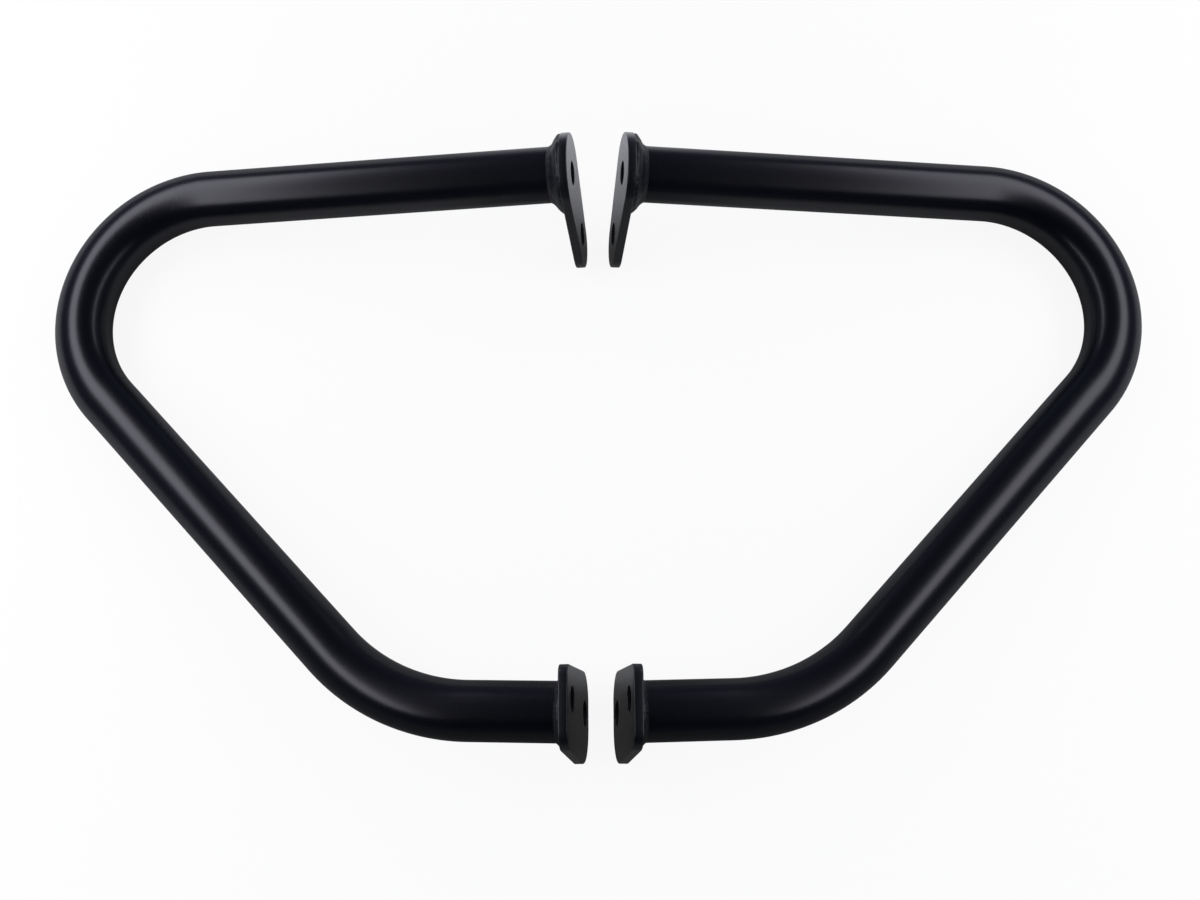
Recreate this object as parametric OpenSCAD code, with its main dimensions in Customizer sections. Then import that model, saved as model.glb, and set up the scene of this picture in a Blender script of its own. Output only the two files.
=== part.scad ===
// Motorcycle crash bars: a left and a right bar, each one bent tube with a bolt-on plate
// welded to either end. They lie side by side on a flat floor with the plates turned inwards.
// Lengths are in mm and angles in degrees.
// A bar is drawn in its own plane first: x = 0 is the face that meets the machine and the
// tube runs towards -x, y runs from the lower plate to the upper one, z leaves the bar's plane.
// settle() then tips the bar onto the three places it rests on.

/* [Tube] */
// Outside diameter of the tube
tube_od = 25.4; // [20:0.1:30]
// Wall of the tube
tube_wall = 1.6; // [1.2:0.1:3]
// Straight length between the upper plate and the outer bend
upper_run = 166.2; // [110:0.1:220]
// Centreline radius of the outer bend
outer_bend_radius = 57.8; // [45:0.1:75]
// Angle the tube turns through at the outer bend
outer_bend_angle = 133; // [125:0.1:138]
// Straight length between the two bends
slant_run = 160; // [120:0.1:190]
// Centreline radius of the lower bend
lower_bend_radius = 85.6; // [60:0.1:100]
// Angle the tube turns through at the lower bend
lower_bend_angle = 44.8; // [40:0.1:48]
// How much the tube's radius swells through its bends
bend_swell = 0.12; // [0.1:0.01:0.2]

/* [Plates] */
// Thickness of all four plates
plate_thickness = 4; // [3:0.1:8]
// Diameter of all eight bolt holes
bolt_hole_d = 11; // [8:0.1:13]

/* [Upper plate] */
// How far the round about the tube reaches past the tube's surface
head_margin = 5.7; // [3:0.1:10]
// Angle the tongue runs at below the bar's plane
tongue_angle = 60; // [40:1:80]
// Distance from the tube's axis to the centre of the tongue's round end
tongue_reach = 38; // [34:0.1:48]
// Radius of the tongue's round end
tongue_radius = 12; // [10:0.1:15]
// Distance between the two bolt holes
upper_hole_spacing = 34; // [30:0.1:36]

/* [Lower plate] */
// How far the plate's upper edge reaches past the tube's surface
foot_top_margin = 2.8; // [2:0.1:8]
// Depth of the plate's lower edge below the tube's axis
foot_bottom = 42; // [40:0.1:50]
// How far the upper edge reaches past the tube's surface at the back
foot_back_margin = 4.8; // [3:0.1:8]
// How far the upper edge reaches past the tube's surface at the front
foot_front_margin = 3.8; // [3:0.1:8]
// Reach of the lower edge behind the tube's axis
foot_low_back = 22.5; // [19:0.1:28]
// Reach of the lower edge in front of the tube's axis
foot_low_front = 19; // [19:0.1:28]
// Corner radius at the back of the upper edge
foot_top_back_corner = 5; // [2:0.1:8]
// Corner radius at the front of the upper edge
foot_top_front_corner = 8; // [2:0.1:10]
// Corner radius at the back of the lower edge
foot_low_back_corner = 12; // [8:0.1:16]
// Corner radius at the front of the lower edge
foot_low_front_corner = 16; // [8:0.1:18]
// Distance of the upper bolt hole from the tube's axis
foot_hole_offset = 5.2; // [0:0.1:5.4]
// Angle of that offset above the straight way back
foot_hole_angle = 25; // [0:1:90]
// Distance between the two bolt holes
lower_hole_spacing = 34; // [33:0.1:36]
// Angle between the line through the holes and the straight way down the plate
lower_hole_lean = 2; // [0:0.5:6]

/* [Welds] */
// Leg of the upper weld along the tube
upper_weld_length = 6.2; // [3:0.1:8]
// Leg of the upper weld up the plate
upper_weld_height = 5.4; // [2:0.1:5.6]
// Leg of the lower weld along the tube
lower_weld_length = 2.4; // [1.5:0.1:4]
// Leg of the lower weld up the plate
lower_weld_height = 2; // [1.5:0.1:3]

/* [Pair] */
// Distance between the left and the right mounting face, measured at the upper tubes' axes
pair_spacing = 22.4; // [18:0.1:60]

/* [Hidden] */
$fn = 48;
tube_r = tube_od / 2;
bore_r = tube_r - tube_wall;
hole_r = bolt_hole_d / 2;
head_radius = tube_r + head_margin;
foot_top = tube_r + foot_top_margin;
// How far a straight runs into a bend, and the rim a weld or a hole leaves beside it
joint_lap = 0.4;
edge_land = 0.3;
// Weld outline: thickness at its edge on the plate, and its hollow, as shares of the two legs
weld_edge = 0.12;
weld_hollow = [0.38, 0.42];
upper_weld_reach = min(upper_weld_height, head_margin - edge_land);
lower_weld_reach = min(lower_weld_height, foot_top_margin - edge_land);

// Tube centreline: bend centres, the points where the runs meet the bends, and the lower end
outer_centre = [-plate_thickness - upper_run, -outer_bend_radius];
outer_end_angle = 90 + outer_bend_angle;
slant_heading = outer_end_angle + 90;
slant_way = [cos(slant_heading), sin(slant_heading)];
slant_start = outer_centre + outer_bend_radius * [cos(outer_end_angle), sin(outer_end_angle)];
slant_end = slant_start + slant_run * slant_way;
lower_centre = slant_end + lower_bend_radius * [-sin(slant_heading), cos(slant_heading)];
lower_end_angle = outer_end_angle + lower_bend_angle;
lower_heading = lower_end_angle + 90;
lower_way = [cos(lower_heading), sin(lower_heading)];
lower_start = lower_centre + lower_bend_radius * [cos(lower_end_angle), sin(lower_end_angle)];
lower_run = (-plate_thickness - lower_start[0]) / lower_way[0];
lower_back_y = lower_start[1] + lower_run * lower_way[1];

// Places on the plates, each as [y, z] from the tube's axis
tongue_way = [-cos(tongue_angle), -sin(tongue_angle)];
tongue_centre = tongue_reach * tongue_way;
tongue_hole = upper_hole_spacing * tongue_way;
foot_hole_shift = min(foot_hole_offset, bore_r - hole_r - edge_land / 2);
foot_upper_hole = foot_hole_shift * [cos(foot_hole_angle), sin(foot_hole_angle)];
foot_holes = [foot_upper_hole,
    foot_upper_hole - lower_hole_spacing * [sin(lower_hole_lean), cos(lower_hole_lean)]];
foot_points = [[tube_r + foot_back_margin, foot_top], [-tube_r - foot_front_margin, foot_top],
    [-foot_low_front, -foot_bottom], [foot_low_back, -foot_bottom]];
foot_corners = [foot_top_back_corner, foot_top_front_corner, foot_low_front_corner,
    foot_low_back_corner];

// Rounded corner k of an outline: unit ways to both neighbours, half the angle, arc centre
function way(from, to) = (to - from) / norm(to - from);
function before(p, k) = way(p[k], p[(k + len(p) - 1) % len(p)]);
function after(p, k) = way(p[k], p[(k + 1) % len(p)]);
function half_angle(p, k) = acos(before(p, k) * after(p, k)) / 2;
function arc_centre(p, r, k) = let (w = before(p, k) + after(p, k))
    p[k] + w / norm(w) * r[k] / sin(half_angle(p, k));

// The three places a bar rests on for a floor whose upward direction is n
function outer_rest(n) = [outer_centre[0], outer_centre[1], 0]
    - outer_bend_radius * [n[0], n[1], 0] / norm([n[0], n[1]]) - (tube_r + bend_swell) * n;
function tongue_rest(n) = [-plate_thickness, tongue_centre[0], tongue_centre[1]]
    - tongue_radius * [0, n[1], n[2]] / norm([n[1], n[2]]);
function foot_rest(n) = let (k = n[1] > 0 ? 2 : 3, c = arc_centre(foot_points, foot_corners, k))
    [-plate_thickness, lower_back_y + c[0], c[1]]
    - foot_corners[k] * [0, n[1], n[2]] / norm([n[1], n[2]]);
function floor_up(n) = let (w = cross(tongue_rest(n) - outer_rest(n), foot_rest(n) - outer_rest(n)))
    -w / norm(w);
function settled(n, turns) = turns == 0 ? n : settled(floor_up(n), turns - 1);
up = settled([0.14, 0, 0.99], 12);
tilt_x = asin(up[1]);
tilt_y = atan2(-up[0], up[2]);

// Rear and front reach of a bar once it lies on the floor, for centring the pair
ahead = [sin(tilt_x) * sin(tilt_y), cos(tilt_x), -sin(tilt_x) * cos(tilt_y)];
front_corner = arc_centre(foot_points, foot_corners, 2);
rear_reach = head_radius;
front_reach = ahead * [-plate_thickness, lower_back_y + front_corner[0], front_corner[1]]
    - foot_corners[2];
shift_y = -(rear_reach + front_reach) / 2;
shift_z = -up * outer_rest(up);

// Lays a bar on the floor, left of the middle, with its mounting faces running front to back
module settle() {
    translate([-pair_spacing / 2, shift_y, shift_z])
        rotate([tilt_x, 0, 0])
            rotate([0, tilt_y, 0])
                children();
}

// Turns a plate outline drawn as [y, z] into a plate behind the mounting face
module stand_plate(y) {
    translate([-plate_thickness, y, 0])
        rotate([90, 0, 90])
            linear_extrude(plate_thickness)
                children();
}

// Everything on the machine's side of the plates' back faces
module front_of_back_faces() {
    reach = 4 * tube_od;
    translate([-plate_thickness, lower_back_y - reach, -reach])
        cube([reach, 2 * reach - lower_back_y, 2 * reach]);
}

// Straight rod that starts at a point of the bar's plane and runs along a heading
module straight(start, heading, length, r) {
    translate([start[0], start[1], 0])
        rotate([0, 90, heading])
            cylinder(r = r, h = length);
}

// Bent rod about a centre, from one angle on by another
module bend(centre, bend_radius, from, turn, r) {
    translate([centre[0], centre[1], 0])
        rotate([0, 0, from])
            rotate_extrude(angle = turn)
                translate([bend_radius, 0])
                    circle(r = r);
}

// Solid rod along the tube's whole path; the bent lengths swell a little over the straights,
// and both outer ends run past the plates' back faces
module rod(r) {
    straight([0, 0], 180, plate_thickness + upper_run + joint_lap, r);
    bend(outer_centre, outer_bend_radius, 90, outer_bend_angle, r + bend_swell);
    straight(slant_start - joint_lap * slant_way, slant_heading, slant_run + 2 * joint_lap, r);
    bend(lower_centre, lower_bend_radius, outer_end_angle, lower_bend_angle, r + bend_swell);
    straight(lower_start - joint_lap * lower_way, lower_heading, lower_run + joint_lap + tube_r, r);
}

// The bent tube, open at both ends and cut flush with the plates' back faces
module bar_tube() {
    difference() {
        rod(tube_r);
        rod(bore_r);
        front_of_back_faces();
    }
}

// Upper plate: a round about the tube running out into a narrower tongue
module tongue_outline() {
    lean = asin((head_radius - tongue_radius) / tongue_reach);
    side_a = [cos(tongue_angle + 270 - lean), sin(tongue_angle + 270 - lean)];
    side_b = [cos(tongue_angle + 90 + lean), sin(tongue_angle + 90 + lean)];
    circle(r = head_radius);
    translate(tongue_centre)
        circle(r = tongue_radius);
    polygon([head_radius * side_a, head_radius * side_b, tongue_centre + tongue_radius * side_b,
        tongue_centre + tongue_radius * side_a]);
}

module bar_upper_plate() {
    stand_plate(0)
        difference() {
            tongue_outline();
            circle(r = hole_r);
            translate(tongue_hole)
                circle(r = hole_r);
        }
}

// Outline with its corners rounded, each by its own radius
module rounded(p, r) {
    for (k = [0:len(p) - 1])
        translate(arc_centre(p, r, k))
            circle(r = r[k]);
    polygon([
        for (k = [0:len(p) - 1], w = [before(p, k), after(p, k)])
            p[k] + w * r[k] / tan(half_angle(p, k))
    ]);
}

// Lower plate: a four-sided plate with rounded corners that widens downwards
module bar_lower_plate() {
    stand_plate(lower_back_y)
        difference() {
            rounded(foot_points, foot_corners);
            for (h = foot_holes)
                translate(h)
                    circle(r = hole_r);
        }
}

// Slightly hollow weld round the tube, running back from a plate that stands at z = 0
module weld_ring(along, height, extra) {
    rotate_extrude()
        polygon([
            [tube_r, -extra],
            [tube_r + height, -extra],
            [tube_r + height, weld_edge * along],
            [tube_r + weld_hollow[0] * height, weld_hollow[1] * along],
            [tube_r, along]
        ]);
}

module bar_upper_weld() {
    translate([-plate_thickness, 0, 0])
        rotate([0, -90, 0])
            weld_ring(upper_weld_length, upper_weld_reach, 0);
}

module bar_lower_weld() {
    difference() {
        translate([-plate_thickness, lower_back_y, 0])
            rotate([0, -90, lower_heading])
                weld_ring(lower_weld_length, lower_weld_reach, tube_od / 4);
        front_of_back_faces();
    }
}

module left_tube() {
    color([0.1, 0.1, 0.11])
        settle()
            bar_tube();
}

module left_upper_plate() {
    color([0.16, 0.16, 0.17])
        settle()
            bar_upper_plate();
}

module left_lower_plate() {
    color([0.16, 0.16, 0.17])
        settle()
            bar_lower_plate();
}

module left_upper_weld() {
    color([0.22, 0.22, 0.23])
        settle()
            bar_upper_weld();
}

module left_lower_weld() {
    color([0.22, 0.22, 0.23])
        settle()
            bar_lower_weld();
}

module right_tube() {
    color([0.1, 0.1, 0.11])
        mirror([1, 0, 0])
            settle()
                bar_tube();
}

module right_upper_plate() {
    color([0.16, 0.16, 0.17])
        mirror([1, 0, 0])
            settle()
                bar_upper_plate();
}

module right_lower_plate() {
    color([0.16, 0.16, 0.17])
        mirror([1, 0, 0])
            settle()
                bar_lower_plate();
}

module right_upper_weld() {
    color([0.22, 0.22, 0.23])
        mirror([1, 0, 0])
            settle()
                bar_upper_weld();
}

module right_lower_weld() {
    color([0.22, 0.22, 0.23])
        mirror([1, 0, 0])
            settle()
                bar_lower_weld();
}

left_tube();
left_upper_plate();
left_lower_plate();
left_upper_weld();
left_lower_weld();
right_tube();
right_upper_plate();
right_lower_plate();
right_upper_weld();
right_lower_weld();
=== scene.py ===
import math

import bmesh
import bpy
from mathutils import Matrix, Vector, noise


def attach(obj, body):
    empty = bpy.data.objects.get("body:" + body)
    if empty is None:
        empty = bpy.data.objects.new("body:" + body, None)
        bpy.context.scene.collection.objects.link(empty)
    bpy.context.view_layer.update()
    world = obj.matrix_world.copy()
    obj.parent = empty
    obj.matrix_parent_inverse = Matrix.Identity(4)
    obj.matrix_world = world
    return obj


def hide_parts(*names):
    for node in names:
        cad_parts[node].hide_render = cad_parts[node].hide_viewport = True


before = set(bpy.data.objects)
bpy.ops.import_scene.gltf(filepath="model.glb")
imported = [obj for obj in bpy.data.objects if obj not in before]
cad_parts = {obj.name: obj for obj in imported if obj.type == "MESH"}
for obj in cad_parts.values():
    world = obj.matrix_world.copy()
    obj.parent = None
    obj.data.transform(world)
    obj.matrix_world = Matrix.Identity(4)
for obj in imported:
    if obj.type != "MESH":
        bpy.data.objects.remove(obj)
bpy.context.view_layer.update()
print("packed solids loaded:", len(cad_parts), "nodes")


# where a bar lies: drawn flat, tipped onto its three rests, the right one mirrored
lay = {
    "tiltX": 0.7294935,
    "tiltY": -7.9872891,
    "shift": (-0.0112, 0.1212332, 0.0452683),
}


def barPlace(side):
    place = Matrix.Translation(lay["shift"])
    place = place @ Matrix.Rotation(math.radians(lay["tiltX"]), 4, "X")
    place = place @ Matrix.Rotation(math.radians(lay["tiltY"]), 4, "Y")
    if side == "right":
        place = Matrix.Scale(-1, 4, (1, 0, 0)) @ place
    return place


def headingWay(angle):
    return Vector((math.cos(math.radians(angle)), math.sin(math.radians(angle)), 0))


finish = {
    "mergeDistance": 1e-6,
    "plateCrease": 35,
    "roundCrease": 60,  # for tubes and welds, which have no edges that need to look sharp
}


def finishPiece(bm, name, node, paint, creaseAngle):
    bmesh.ops.transform(bm, matrix=barPlace(node.split("_")[0]), verts=bm.verts)
    bmesh.ops.remove_doubles(bm, verts=bm.verts, dist=finish["mergeDistance"])
    bmesh.ops.recalc_face_normals(bm, faces=bm.faces)
    bm.edges.index_update()
    rims = [e.index for e in bm.edges if e.is_boundary]
    mesh = bpy.data.meshes.new(name)
    bm.to_mesh(mesh)
    bm.free()
    mesh.shade_smooth()
    mesh.set_sharp_from_angle(angle=math.radians(creaseAngle))
    for k in rims:  # a wall added later stays crisp at its rims
        mesh.edges[k].use_edge_sharp = True
    mesh.materials.append(paint)
    piece = bpy.data.objects.new(name, mesh)
    bpy.context.scene.collection.objects.link(piece)
    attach(piece, "root")
    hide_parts(node)
    return piece


# small helpers for the node trees of the paints, the floor and the room
def setInputs(links, node, values):
    for key, value in values.items():
        if isinstance(value, bpy.types.NodeSocket):
            links.new(value, node.inputs[key])
        else:
            node.inputs[key].default_value = value


def mathNode(nodes, links, operation, *values):
    node = nodes.new("ShaderNodeMath")
    node.operation = operation
    setInputs(links, node, dict(enumerate(values)))
    return node.outputs[0]


def rangeNode(nodes, links, value, span, ends, interpolation="LINEAR"):
    node = nodes.new("ShaderNodeMapRange")
    node.interpolation_type = interpolation
    keys = ("Value", "From Min", "From Max", "To Min", "To Max")
    setInputs(links, node, dict(zip(keys, (value, *span, *ends))))
    return node.outputs["Result"]


def noiseNode(nodes, links, place, scale, detail):
    node = nodes.new("ShaderNodeTexNoise")
    setInputs(links, node, {"Vector": place, "Scale": scale, "Detail": detail})
    return node.outputs["Fac"]


# satin black paint, one recipe with a set of values for each kind of piece
paintNoise = {
    "driftDetail": 3,
    "driftSpan": (0.3, 0.7),
    "speckleDetail": 2,
    "glossSpan": (0.6, 1.4),  # of drift and speckle added up
    "peelDetail": 4,
}


def paintMaterial(name, look):
    material = bpy.data.materials.new(name)
    material.use_nodes = True
    nodes, links = material.node_tree.nodes, material.node_tree.links
    shader = nodes["Principled BSDF"]
    setInputs(links, shader, {"Metallic": 0, "IOR": look["ior"], "Coat Weight": look["coat"],
                              "Coat Roughness": look["coatRough"]})
    place = nodes.new("ShaderNodeTexCoord").outputs["Object"]

    # slow drift of the black, and of how satin it is
    drift = noiseNode(nodes, links, place, look["driftScale"], paintNoise["driftDetail"])
    tone = nodes.new("ShaderNodeValToRGB")
    for stop, position, word in zip(tone.color_ramp.elements, paintNoise["driftSpan"],
                                    ("dark", "light")):
        stop.position = position
        stop.color = (*look[word], 1)
    links.new(drift, tone.inputs["Fac"])
    links.new(tone.outputs["Color"], shader.inputs["Base Color"])

    # fine speckle in the gloss, as sprayed satin paint has
    speckle = noiseNode(nodes, links, place, look["speckleScale"], paintNoise["speckleDetail"])
    both = mathNode(nodes, links, "ADD", drift, speckle)
    rough = rangeNode(nodes, links, both, paintNoise["glossSpan"],
                      (look["roughLow"], look["roughHigh"]))
    links.new(rough, shader.inputs["Roughness"])

    # orange peel
    peel = noiseNode(nodes, links, place, look["peelScale"], paintNoise["peelDetail"])
    bump = nodes.new("ShaderNodeBump")
    setInputs(links, bump, {"Strength": look["peelStrength"], "Distance": look["peelDepth"],
                            "Height": peel})
    links.new(bump.outputs["Normal"], shader.inputs["Normal"])
    return material


tubePaint = paintMaterial("satinTubePaint", {
    "dark": (0.0009, 0.0014, 0.0036),
    "light": (0.0018, 0.0024, 0.0052),
    "ior": 1.5,
    "driftScale": 14,
    "speckleScale": 1400,
    "roughLow": 0.25,
    "roughHigh": 0.275,
    "coat": 0,
    "coatRough": 0.1,
    "peelScale": 900,
    "peelStrength": 0.05,
    "peelDepth": 0.0002,
})
platePaint = paintMaterial("satinPlatePaint", {
    "dark": (0.0022, 0.0027, 0.0045),
    "light": (0.005, 0.0056, 0.0075),
    "ior": 1.5,
    "driftScale": 30,
    "speckleScale": 1300,
    "roughLow": 0.28,
    "roughHigh": 0.36,
    "coat": 1,
    "coatRough": 0.16,
    "peelScale": 700,
    "peelStrength": 0.1,
    "peelDepth": 0.00025,
})
weldPaint = paintMaterial("satinWeldPaint", {
    "dark": (0.002, 0.0026, 0.0055),
    "light": (0.009, 0.0098, 0.0135),
    "ior": 1.5,
    "driftScale": 90,
    "speckleScale": 1500,
    "roughLow": 0.26,
    "roughHigh": 0.42,
    "coat": 0,
    "coatRough": 0.1,
    "peelScale": 1100,
    "peelStrength": 0.35,
    "peelDepth": 0.0003,
})
print("paints mixed")


# tubes, each one ring of edges pushed and turned along the path
tube = {
    "radius": 0.0127,
    "wall": 0.0016,
    "backFace": -0.004,
    "upperRun": 0.1662,
    "outerRadius": 0.0578,
    "outerTurn": 133,
    "slantRun": 0.16,
    "lowerRadius": 0.0856,
    "lowerTurn": 44.8,
    "around": 72,
    "outerCuts": 72,
    "lowerCuts": 28,
    "shortShare": 0.01,
    "endPiece": 0.001,
}


def lowerEnd():
    # heading and start of the lower run, and where its axis meets the plates' back faces
    centre = Vector((tube["backFace"] - tube["upperRun"], -tube["outerRadius"], 0))
    angle = 90 + tube["outerTurn"]
    spot = centre + tube["outerRadius"] * headingWay(angle)
    slantWay = headingWay(angle + 90)
    spot = spot + tube["slantRun"] * slantWay
    lowerCentre = spot + tube["lowerRadius"] * headingWay(angle + 180)
    angle += tube["lowerTurn"]
    start = lowerCentre + tube["lowerRadius"] * headingWay(angle)
    way = headingWay(angle + 90)
    end = start + way * ((tube["backFace"] - start.x) / way.x)
    return {"outerCentre": centre, "slantWay": slantWay, "lowerCentre": lowerCentre,
            "way": way, "end": end, "heading": angle + 90}


path = lowerEnd()


def pushRing(bm, ring, move):
    made = bmesh.ops.extrude_edge_only(bm, edges=ring)["geom"]
    corners = [g for g in made if isinstance(g, bmesh.types.BMVert)]
    bmesh.ops.translate(bm, vec=move, verts=corners)
    return [g for g in made if isinstance(g, bmesh.types.BMEdge)
            and all(v in set(corners) for v in g.verts)]


def runRing(bm, ring, move):
    # a straight length, with a short piece at each end so that a bend's shading stays in it
    short = tube["shortShare"]
    for share in (short, 1 - 2 * short, short):
        ring = pushRing(bm, ring, share * move)
    return ring


def turnRing(bm, ring, centre, turn, cuts):
    made = bmesh.ops.spin(bm, geom=ring, cent=centre, axis=(0, 0, 1), steps=cuts,
                          angle=math.radians(turn), use_duplicate=False)["geom_last"]
    return [g for g in made if isinstance(g, bmesh.types.BMEdge)]


def makeTube(side):
    bm = bmesh.new()
    start = Matrix.Translation((tube["backFace"], 0, 0)) @ Matrix.Rotation(math.pi / 2, 4, "Y")
    bmesh.ops.create_circle(bm, cap_ends=False, segments=tube["around"],
                            radius=tube["radius"], matrix=start)
    ring = runRing(bm, bm.edges[:], Vector((-tube["upperRun"], 0, 0)))
    ring = turnRing(bm, ring, path["outerCentre"], tube["outerTurn"], tube["outerCuts"])
    ring = runRing(bm, ring, tube["slantRun"] * path["slantWay"])
    ring = turnRing(bm, ring, path["lowerCentre"], tube["lowerTurn"], tube["lowerCuts"])
    for k in range(2):
        ring = pushRing(bm, ring, tube["endPiece"] * path["way"])
    for v in {v for e in ring for v in e.verts}:  # slide the end onto the plate's back face
        v.co += path["way"] * ((tube["backFace"] - v.co.x) / path["way"].x)
    piece = finishPiece(bm, side + "BarTube", side + "_tube", tubePaint,
                        finish["roundCrease"])
    wall = piece.modifiers.new("wall", "SOLIDIFY")
    wall.thickness = tube["wall"]
    wall.offset = -1
    return piece


# plates, each outline a run of arcs (centre, radius, first angle, turn) with straight joins
plate = {
    "thickness": 0.004,
    "edgeRound": 0.00045,
    "holeRound": 0.0003,
    "roundSteps": 4,
    "landWidth": 0.0002,
    "arcStep": 6,
    "fewestSteps": 4,
    "holeRadius": 0.0055,
    "holeCuts": 48,
}
upperPlate = {
    "headRadius": 0.0184,
    "tongueAngle": 240,
    "tongueReach": 0.038,
    "tongueRadius": 0.012,
    "holeSpacing": 0.034,
}
lowerPlate = {
    "corners": [(0.0175, 0.0155), (-0.0165, 0.0155), (-0.019, -0.042), (0.0225, -0.042)],
    "cornerRadii": [0.005, 0.008, 0.016, 0.012],
    "holeOffset": 0.0052,
    "holeAngle": 25,
    "holeSpacing": 0.034,
    "holeLean": 2,
}


def flatWay(angle):
    return Vector((0, math.cos(math.radians(angle)), math.sin(math.radians(angle))))


def upperPlateForm():
    shape = upperPlate
    reach = flatWay(shape["tongueAngle"])
    lean = math.degrees(math.asin((shape["headRadius"] - shape["tongueRadius"])
                                  / shape["tongueReach"]))
    side = shape["tongueAngle"] + 90 - lean
    arcs = [(Vector((0, 0, 0)), shape["headRadius"], side, 180 + 2 * lean),
            (shape["tongueReach"] * reach, shape["tongueRadius"], side + 180 + 2 * lean,
             180 - 2 * lean)]
    return arcs, [Vector((0, 0, 0)), shape["holeSpacing"] * reach]


def lowerPlateForm():
    shape = lowerPlate
    corners = [Vector((0, y, z)) for y, z in shape["corners"]]
    arcs = []
    for k, corner in enumerate(corners):
        back = (corners[k - 1] - corner).normalized()
        ahead = (corners[(k + 1) % len(corners)] - corner).normalized()
        half = back.angle(ahead) / 2
        radius = shape["cornerRadii"][k]
        centre = corner + (back + ahead).normalized() * radius / math.sin(half)
        first = math.degrees(math.atan2(-back.z, -back.y)) - 90
        arcs.append((centre, radius, first, 180 - 2 * math.degrees(half)))
    top = shape["holeOffset"] * flatWay(shape["holeAngle"])
    return arcs, [top, top + shape["holeSpacing"] * flatWay(270 - shape["holeLean"])]


def outlineLoop(bm, arcs, inset, x):
    # arcs spun from single points and joined by straight edges
    ends, edges = [], []
    for centre, radius, first, turn in arcs:
        hub = Vector((x, centre.y, centre.z))
        point = bm.verts.new(hub + (radius - inset) * flatWay(first))
        before = set(bm.edges)
        last = bmesh.ops.spin(bm, geom=[point], cent=hub, axis=(1, 0, 0), dvec=(0, 0, 0),
                              steps=max(plate["fewestSteps"], round(turn / plate["arcStep"])),
                              angle=math.radians(turn), use_duplicate=False)["geom_last"]
        edges += [e for e in bm.edges if e not in before]
        ends.append((point, [g for g in last if isinstance(g, bmesh.types.BMVert)][0]))
    for k, (point, last) in enumerate(ends):
        edges.append(bm.edges.new((last, ends[(k + 1) % len(ends)][0])))
    return edges


def holeLoop(bm, centre, radius, x):
    turned = Matrix.Translation((x, centre.y, centre.z)) @ Matrix.Rotation(math.pi / 2, 4, "Y")
    made = bmesh.ops.create_circle(bm, cap_ends=False, segments=plate["holeCuts"],
                                   radius=radius, matrix=turned)["verts"]
    return list({e for v in made for e in v.link_edges})


def edgeSteps(rounding):
    # (inset, depth) from the front face round the edge to the back face
    steps = []
    for k in range(plate["roundSteps"] + 1):
        a = math.pi / 2 * k / plate["roundSteps"]
        steps.append((rounding * (1 - math.sin(a)), rounding * (1 - math.cos(a))))
    return steps + [(inset, plate["thickness"] - depth) for inset, depth in reversed(steps)]


def makePlate(side, word, form, base):
    arcs, holes = form
    bm = bmesh.new()
    caps = {}
    walls = [(lambda inset, x: outlineLoop(bm, arcs, inset, x), plate["edgeRound"])]
    walls += [(lambda inset, x, h=h: holeLoop(bm, h, plate["holeRadius"] + inset, x),
               plate["holeRound"]) for h in holes]
    for makeLoop, rounding in walls:
        loops = [makeLoop(inset, -depth) for inset, depth in edgeSteps(rounding)]
        for one, two in zip(loops, loops[1:]):
            bmesh.ops.bridge_loops(bm, edges=one + two)
        caps.setdefault("front", []).extend(loops[0])
        caps.setdefault("back", []).extend(loops[-1])
    for rim in caps.values():
        made = bmesh.ops.triangle_fill(bm, use_beauty=True, use_dissolve=False, edges=rim)["geom"]
        bmesh.ops.recalc_face_normals(bm, faces=bm.faces)
        # a narrow land keeps the flat faces' shading flat beside the rounded edge
        bmesh.ops.inset_region(bm, faces=[g for g in made if isinstance(g, bmesh.types.BMFace)],
                               thickness=plate["landWidth"], use_even_offset=True)
    bmesh.ops.translate(bm, vec=(0, base, 0), verts=bm.verts)
    name = side + word[0].upper() + word[1:] + "Plate"
    return finishPiece(bm, name, side + "_" + word + "_plate", platePaint,
                       finish["plateCrease"])


# welds, each a closed profile (along the tube, up from its surface) in millimetres
upperWeld = {
    "profile": [(6.7, -0.5), (6.3, 0.0), (5.8, 0.25), (5.2, 0.65), (4.6, 1.2), (3.9, 2.0),
                (3.2, 2.9), (2.4, 3.85), (1.7, 4.5), (1.0, 4.95), (0.4, 5.15), (-0.1, 5.25),
                (-0.1, -0.5)],
    "around": 240,
    "ripples": 26,
    "rippleDepth": 0.00014,
    "lumpDepth": 0.0006,
    "lumpScale": 150,
    "grainDepth": 0.00016,
    "grainScale": 620,
    "seed": 3.0,
}
lowerWeld = {
    "profile": [(2.8, -0.5), (2.5, 0.0), (2.2, 0.5), (1.75, 0.95), (1.25, 1.35), (0.7, 1.75),
                (0.25, 1.95), (-0.6, 2.0), (-1.6, -0.5)],
    "around": 220,
    "ripples": 30,
    "rippleDepth": 0.0002,
    "lumpDepth": 0.0004,
    "lumpScale": 220,
    "grainDepth": 0.00012,
    "grainScale": 900,
    "seed": 11.0,
}


weldFlow = {
    "seam": 0.0001,  # nothing closer than this to the tube or the plate is moved
    "lean": 160,  # turns of ripple for each metre away from the tube
    "wander": 0.8,
    "wanderScale": 120,
    "crestLevel": 0.7,
    "fadeHeight": 0.0012,
}


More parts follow.
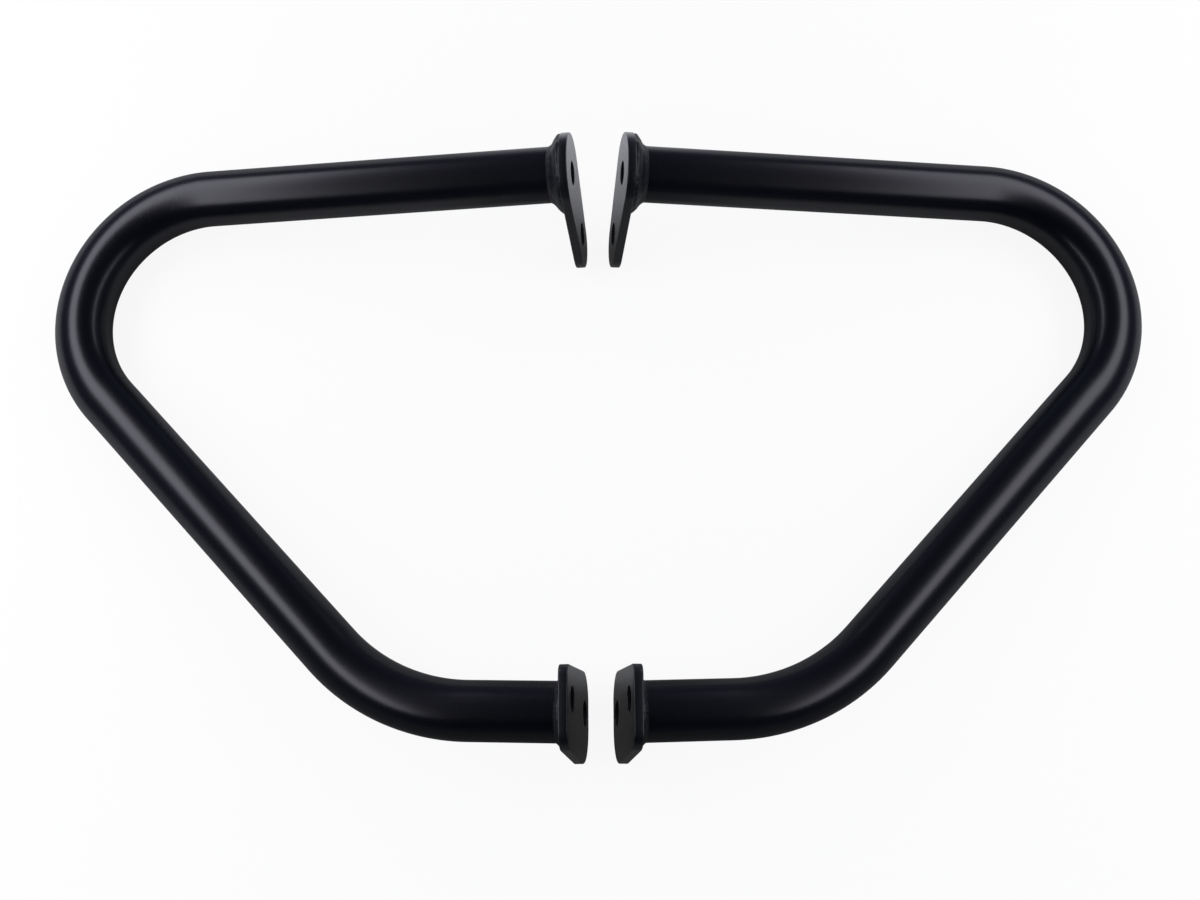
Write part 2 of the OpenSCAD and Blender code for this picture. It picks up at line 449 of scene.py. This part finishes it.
def makeWeld(side, word, weld, place):
    bm = bmesh.new()
    ring = [bm.verts.new((0, 0.001 * up + tube["radius"], 0.001 * along))
            for along, up in weld["profile"]]
    for k, v in enumerate(ring):
        bm.edges.new((v, ring[(k + 1) % len(ring)]))
    bmesh.ops.spin(bm, geom=bm.verts[:] + bm.edges[:], cent=(0, 0, 0), axis=(0, 0, 1),
                   dvec=(0, 0, 0), angle=2 * math.pi, steps=weld["around"], use_merge=True)
    bmesh.ops.remove_doubles(bm, verts=bm.verts, dist=finish["mergeDistance"])
    bmesh.ops.recalc_face_normals(bm, faces=bm.faces)
    bm.normal_update()
    seed = Vector((weld["seed"],) * 3)
    shove = {}
    for v in bm.verts:
        out = math.hypot(v.co.x, v.co.y) - tube["radius"]
        if out < weldFlow["seam"] or v.co.z < weldFlow["seam"]:
            continue
        wave = math.atan2(v.co.y, v.co.x) / (2 * math.pi) * weld["ripples"]
        wave += out * weldFlow["lean"]
        wave += weldFlow["wander"] * noise.noise(v.co * weldFlow["wanderScale"] + seed)
        crest = 1 - abs(2 * (wave - math.floor(wave)) - 1) ** 2 - weldFlow["crestLevel"]
        lump = noise.noise(v.co * weld["lumpScale"] + seed)
        grain = noise.noise(v.co * weld["grainScale"] + seed)
        fade = min(1, out / weldFlow["fadeHeight"])
        shove[v] = v.normal * (fade * (weld["rippleDepth"] * crest + weld["lumpDepth"] * lump)
                               + weld["grainDepth"] * grain)
    for v, move in shove.items():
        v.co += move
    bmesh.ops.transform(bm, matrix=place, verts=bm.verts)
    name = side + word[0].upper() + word[1:] + "Weld"
    return finishPiece(bm, name, side + "_" + word + "_weld", weldPaint,
                       finish["roundCrease"])


for side in ("left", "right"):
    makeTube(side)
    makePlate(side, "upper", upperPlateForm(), 0.0)
    makePlate(side, "lower", lowerPlateForm(), path["end"].y)
    towardsTube = Matrix.Rotation(-math.pi / 2, 4, "Y")  # a weld is drawn standing on the plate
    makeWeld(side, "upper", upperWeld, Matrix.Translation((tube["backFace"], 0, 0)) @ towardsTube)
    makeWeld(side, "lower", lowerWeld, Matrix.Translation(path["end"])
             @ Matrix.Rotation(math.radians(path["heading"]), 4, "Z") @ towardsTube)
    print(side, "bar made")


# floor, room and lamps
studio = {
    "floorHalf": 4,
    "floorWhite": (0.9, 0.9, 0.9, 1),
    "shadowShare": 0.1,
    "shadowReach": (0.35, 0.75),
    "glossGlow": 0.03,
    "glossSpan": (-0.25, 0.5),
    # painted light and shade on the floor as gloss sees it, beside the bars and in the gap
    # between them
    "paintedGlossLightSides": [(-0.17, 0.09), (-0.08, 0.34), (0.08, 0.5), (0.16, 0.38), (0.45, 0.6)],
    "paintedGlossLightGap": [(-0.14, 0.08), (-0.105, 0.5), (-0.06, 0.14), (0.07, 0.2), (0.12, 0.82)],
    "gapHalf": (0.03, 0.09),
    # painted shade of the floor close under the bars, as gloss sees it
    "shadeReach": 0.07,
    "shadePower": 2,
    "shadeSamples": 4,
    "boxTint": (0.97, 0.97, 1.1),
    "roomLight": (0.47, 0.48, 0.5, 1),
    "glossTint": (0.85, 0.95, 1.35, 1),
    "glossOverhead": (0.02, 0.025),
    "glossLow": (0.12, 0.06),
    "glossLowPower": 3,
    "boxSize": (1.029, 2.296),
    "boxSpot": (0.848, 0.287, 0.796),
    "boxTip": 30.07,
    "boxGlow": {"left": 3.45, "right": 2.75},
}


def paintedLightRamp(nodes, links, along, stops):
    # a ramp of painted light and shade along the floor; along runs from 0 to 1 over glossSpan,
    # and the stops are given in metres
    front, back = studio["glossSpan"]
    ramp = nodes.new("ShaderNodeValToRGB")
    ramp.color_ramp.interpolation = "EASE"
    places = [(y - front) / (back - front) for y, grey in stops]
    for place in places[1:-1]:
        ramp.color_ramp.elements.new(place)
    for stop, place, (y, grey) in zip(ramp.color_ramp.elements, places, stops):
        stop.position = place
        stop.color = (grey, grey, grey, 1)
    links.new(along, ramp.inputs["Fac"])
    return ramp.outputs["Color"]


def makeFloor():
    bm = bmesh.new()
    bmesh.ops.create_grid(bm, x_segments=1, y_segments=1, size=studio["floorHalf"])
    mesh = bpy.data.meshes.new("paleFloor")
    bm.to_mesh(mesh)
    bm.free()
    floor = bpy.data.objects.new("paleFloor", mesh)
    bpy.context.scene.collection.objects.link(floor)
    material = bpy.data.materials.new("paleFloor")
    material.use_nodes = True
    nodes, links = material.node_tree.nodes, material.node_tree.links
    nodes.clear()
    rays = nodes.new("ShaderNodeLightPath")
    gloss = mathNode(nodes, links, "MAXIMUM", rays.outputs["Is Glossy Ray"],
                     rays.outputs["Is Transmission Ray"])
    glow = mathNode(nodes, links, "MAXIMUM", rays.outputs["Is Camera Ray"],
                    mathNode(nodes, links, "MULTIPLY", gloss, studio["glossGlow"]))

    # gloss sees a dimmer floor with painted light and shade laid out by place, palest at the back
    # and in the gap between the two bars
    place = nodes.new("ShaderNodeTexCoord").outputs["Object"]
    parts = nodes.new("ShaderNodeSeparateXYZ")
    links.new(place, parts.inputs[0])
    along = rangeNode(nodes, links, parts.outputs["Y"], studio["glossSpan"], (0, 1))
    sideways = mathNode(nodes, links, "ABSOLUTE", parts.outputs["X"])
    grey = rangeNode(nodes, links, sideways, studio["gapHalf"],
                     (paintedLightRamp(nodes, links, along, studio["paintedGlossLightGap"]),
                      paintedLightRamp(nodes, links, along, studio["paintedGlossLightSides"])), "SMOOTHSTEP")
    paintedShade = nodes.new("ShaderNodeAmbientOcclusion")  # painted shade: the floor that gloss sees is darker close under the bars
    paintedShade.samples = studio["shadeSamples"]
    paintedShade.inputs["Distance"].default_value = studio["shadeReach"]
    clear = mathNode(nodes, links, "POWER", paintedShade.outputs["AO"], studio["shadePower"])
    dimmed = mathNode(nodes, links, "SUBTRACT", 1,
                      mathNode(nodes, links, "MULTIPLY", clear, grey))

    # the camera sees white with a light shadow round the bars
    reach = nodes.new("ShaderNodeVectorMath")
    reach.operation = "LENGTH"
    links.new(place, reach.inputs[0])
    shadow = rangeNode(nodes, links, reach.outputs["Value"], studio["shadowReach"],
                       (1 - studio["shadowShare"], 1), "SMOOTHSTEP")
    share = mathNode(nodes, links, "MAXIMUM",
                     mathNode(nodes, links, "MULTIPLY", rays.outputs["Is Camera Ray"], shadow),
                     mathNode(nodes, links, "MULTIPLY", gloss, dimmed))
    matt = nodes.new("ShaderNodeBsdfDiffuse")
    matt.inputs["Color"].default_value = studio["floorWhite"]
    white = nodes.new("ShaderNodeEmission")
    links.new(glow, white.inputs["Strength"])
    mix = nodes.new("ShaderNodeMixShader")
    links.new(share, mix.inputs["Fac"])
    links.new(matt.outputs[0], mix.inputs[1])
    links.new(white.outputs[0], mix.inputs[2])
    out = nodes.new("ShaderNodeOutputMaterial")
    links.new(mix.outputs[0], out.inputs["Surface"])
    material.cycles.emission_sampling = "NONE"
    mesh.materials.append(material)


def makeRoom():
    world = bpy.data.worlds.new("paleRoom")
    bpy.context.scene.world = world
    world.use_nodes = True
    world.cycles.sampling_method = "NONE"
    nodes, links = world.node_tree.nodes, world.node_tree.links
    nodes.clear()
    rays = nodes.new("ShaderNodeLightPath")

    # what gloss sees: dark overhead, paler towards the floor and the back
    way = nodes.new("ShaderNodeTexCoord")
    parts = nodes.new("ShaderNodeSeparateXYZ")
    links.new(way.outputs["Generated"], parts.inputs[0])
    low = mathNode(nodes, links, "POWER",
                   mathNode(nodes, links, "SUBTRACT", 1, parts.outputs["Z"]),
                   studio["glossLowPower"])
    greys = [mathNode(nodes, links, "MULTIPLY_ADD", parts.outputs["Y"], grow, grey)
             for grey, grow in (studio["glossOverhead"], studio["glossLow"])]
    gloss = nodes.new("ShaderNodeBackground")
    gloss.inputs["Color"].default_value = studio["glossTint"]
    links.new(mathNode(nodes, links, "MAXIMUM", 0,
                       mathNode(nodes, links, "MULTIPLY_ADD", low, greys[1], greys[0])),
              gloss.inputs["Strength"])

    plain = nodes.new("ShaderNodeBackground")
    plain.inputs["Color"].default_value = studio["roomLight"]
    white = nodes.new("ShaderNodeBackground")
    white.inputs["Color"].default_value = (1, 1, 1, 1)
    lit = nodes.new("ShaderNodeMixShader")
    links.new(mathNode(nodes, links, "MAXIMUM", rays.outputs["Is Glossy Ray"],
                       rays.outputs["Is Transmission Ray"]), lit.inputs["Fac"])
    links.new(plain.outputs[0], lit.inputs[1])
    links.new(gloss.outputs[0], lit.inputs[2])
    seen = nodes.new("ShaderNodeMixShader")
    links.new(rays.outputs["Is Camera Ray"], seen.inputs["Fac"])
    links.new(lit.outputs[0], seen.inputs[1])
    links.new(white.outputs[0], seen.inputs[2])
    out = nodes.new("ShaderNodeOutputWorld")
    links.new(seen.outputs[0], out.inputs["Surface"])


def addBox(word, sign):
    # one long oval softbox beside and above each bar, its outer side tipped up
    width, length = studio["boxSize"]
    data = bpy.data.lights.new(word + "Box", "AREA")
    data.shape = "ELLIPSE"
    data.size, data.size_y = width, length
    data.energy = studio["boxGlow"][word] * math.pi * (math.pi / 4 * width * length)
    data.color = studio["boxTint"]
    lamp = bpy.data.objects.new(word + "Box", data)
    bpy.context.scene.collection.objects.link(lamp)
    x, y, z = studio["boxSpot"]
    lamp.location = (sign * x, y, z)
    lamp.rotation_euler = (0, math.radians(-sign * studio["boxTip"]), 0)
    lamp.visible_camera = False


makeFloor()
makeRoom()
addBox("left", -1)
addBox("right", 1)

# the camera, as fitted to the photograph
camera = {
    "lens": 48,
    "sensor": 36,
    "clipStart": 0.01,
    "distance": 0.6953637,
    "elevation": 72.24067,
    "roll": -0.37972,
    "target": (0.00034707, -0.00712327, 0.035),
}


def makeCamera():
    data = bpy.data.cameras.new("photoCamera")
    data.lens = camera["lens"]
    data.sensor_width = camera["sensor"]
    data.clip_start = camera["clipStart"]
    eye = bpy.data.objects.new("photoCamera", data)
    bpy.context.scene.collection.objects.link(eye)
    turn = Matrix.Rotation(math.radians(90 - camera["elevation"]), 4, "X")
    turn = turn @ Matrix.Rotation(math.radians(camera["roll"]), 4, "Z")
    eye.matrix_world = (Matrix.Translation(camera["target"]) @ turn
                        @ Matrix.Translation((0, 0, camera["distance"])))
    bpy.context.scene.camera = eye


makeCamera()
bpy.context.scene.view_settings.view_transform = "Standard"
print("studio set")
